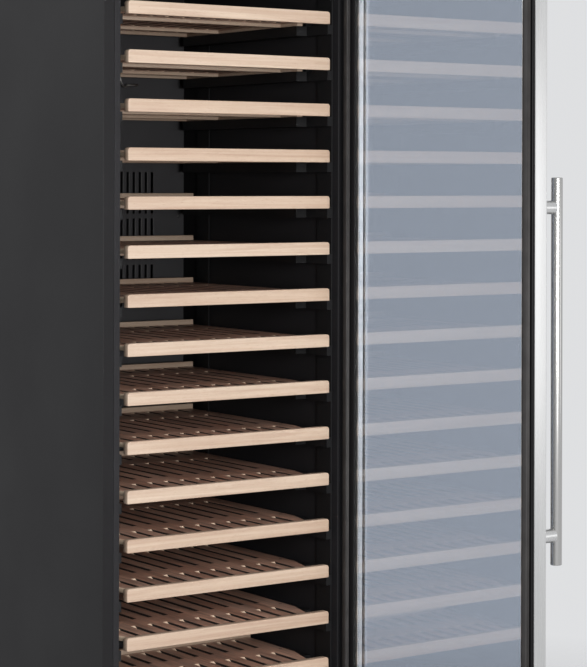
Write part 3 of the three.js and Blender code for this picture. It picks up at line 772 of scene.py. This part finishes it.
def make_stage():
    """A pale floor that fades into the backdrop's colour a few metres away."""
    bm = bmesh.new()
    bmesh.ops.create_circle(bm, cap_ends=True, segments=96, radius=FLOOR_RADIUS)
    look = Material("floor", (0.56, 0.56, 0.57), 0.7)
    length = look.node("ShaderNodeVectorMath", operation="LENGTH")
    look.link(look.place, length.inputs[0])
    fade = look.ramp(look.math("DIVIDE", length.outputs["Value"], FLOOR_RADIUS), (0.09, 1.0), (0.28, 0.0))
    look.drive("Alpha", fade)
    floor = bpy.data.objects.new("floor", mesh_of("floor", bm, [look.made]))
    SCENE.collection.objects.link(floor)


def add_light(name, x, y, z, aim, size, power, color=(1, 1, 1)):
    data = bpy.data.lights.new(name, "AREA")
    data.shape = "RECTANGLE"
    data.size, data.size_y = size
    data.energy = power
    data.color = color
    light = bpy.data.objects.new(name, data)
    place, target = cabinet_point(x, y, z), cabinet_point(*aim)
    light.location = place
    light.rotation_euler = (target - place).to_track_quat("-Z", "Y").to_euler()
    SCENE.collection.objects.link(light)


def make_light():
    world = bpy.data.worlds.new("studio")
    world.use_nodes = True
    world.node_tree.nodes["Background"].inputs["Color"].default_value = (0.735, 0.742, 0.755, 1)
    world.node_tree.nodes["Background"].inputs["Strength"].default_value = 1.0
    SCENE.world = world
    add_light("softbox", -1000, -4100, 1500, (0, 150, 800), (1.4, 1.4), 190, (1, 0.99, 0.975))
    add_light("steel_card", 2950, -3600, 1000, (265, -600, 1000), (1.5, 1.4), 5.6)
    add_light("high_left", -2800, 2600, 3000, (-297, 300, 1500), (1.4, 1.4), 25)
    SCENE.view_settings.view_transform = "Standard"
    SCENE.cycles.use_denoising = True
    SCENE.cycles.max_bounces = 12
    SCENE.cycles.transparent_max_bounces = 16


# ---------------------------------------------------------------- build
def main():
    make_camera()
    looks = {
        "steel_black": painted("powder_coat", (0.0060, 0.0056, 0.0064), 0.50, specular_ior_level=0.2),
        "liner": painted("liner_plastic", (0.015, 0.0145, 0.016), 0.48, 1500, 0.00003,
                         specular_ior_level=0.14),
        "rail": painted("rail_plastic", (0.0085, 0.0085, 0.0092), 0.5, 1500, 0.00003, specular_ior_level=0.2),
        "cover": painted("cover_steel", (0.033, 0.0325, 0.0355), 0.42, 1300, 0.00004),
        "plastic": painted("black_plastic", (0.014, 0.014, 0.015), 0.45),
        "frame_plastic": painted("frame_plastic", (0.0075, 0.0073, 0.0082), 0.50, 1500, 0.00003,
                                 specular_ior_level=0.18),
        "enamel": painted("black_enamel", (0.014, 0.015, 0.018), 0.3, 500, 0.00004),
        "dark_metal": bare_metal("dark_screw", (0.10, 0.10, 0.10), 0.4),
        "bright_metal": bare_metal("bright_metal", (0.62, 0.62, 0.61), 0.3),
        "copper": bare_metal("copper", (0.78, 0.36, 0.21), 0.32),
        "steel_upright": brushed("brushed_steel_upright", (0.68, 0.68, 0.675), 2),
        "steel_bar": brushed("brushed_steel_bar", (0.50, 0.495, 0.485), 2, 0.2),
        "steel_level": brushed("brushed_steel_level", (0.66, 0.66, 0.655), 1),
        "beech": beech(),
        "stained": stained(),
        "cut_wood": cut_wood(),
        # Near-black slot side walls: painted shade inside the slots, not a stain colour.
        "slot": painted("slot_wall_painted_shade", (0.012, 0.009, 0.008), 0.8, 500, 0.0001),
        "clear_glass": glass("clear_glass", (0.97, 0.98, 0.98)),
        "tinted_glass": glass("tinted_glass", (0.47, 0.52, 0.61)),
        "galvanised": galvanised(),
        "spacer": spacer_metal(),
        "rubber": rubber(),
        "foam": foam(),
        "diffuser": diffuser(),
        "display": painted("display_glass", (0.006, 0.006, 0.008), 0.08, 40, 0.00001),
    }
    build_shelves(looks)
    build_door(looks)
    build_handle(looks)
    build_screws(looks)
    for nodes, look, width in (
            (("outer_shell",), "steel_black", 0.0012),
            (("inner_liner",), "liner", 0.0009),
            (("rail_panel_left", "rail_panel_right"), "rail", 0.0),
            (("evaporator_cover",), "cover", 0.001),
            (("insulation_foam",), "foam", 0.0),
            (("back_panel", "base_plate"), "galvanised", 0.0003),
            (("kick_grille", "control_panel", "drip_tray", "power_inlet"), "plastic", 0.0006),
            (("circulation_fan", "condenser_fan"), "plastic", 0.0004),
            (("foot_front_left", "foot_front_right", "foot_rear_left", "foot_rear_right"), "plastic", 0.0006),
            (("button_power", "button_light", "button_colder", "button_warmer"), "plastic", 0.0005),
            (("circulation_fan_motor", "condenser_fan_motor", "compressor"), "enamel", 0.001),
            (("hinge_bracket_top", "hinge_bracket_bottom"), "enamel", 0.0006),
            (("temperature_sensor",), "bright_metal", 0.0002),
            (("evaporator_coil", "hinge_pin_top", "hinge_pin_bottom"), "bright_metal", 0.0002),
            (("condenser_coil",), "copper", 0.0002),
            (("display_window",), "display", 0.0003),
            (("led_strip",), "diffuser", 0.0006)):
        for node in nodes:
            keep(node, looks[look], width)
    make_stage()
    make_light()


main()
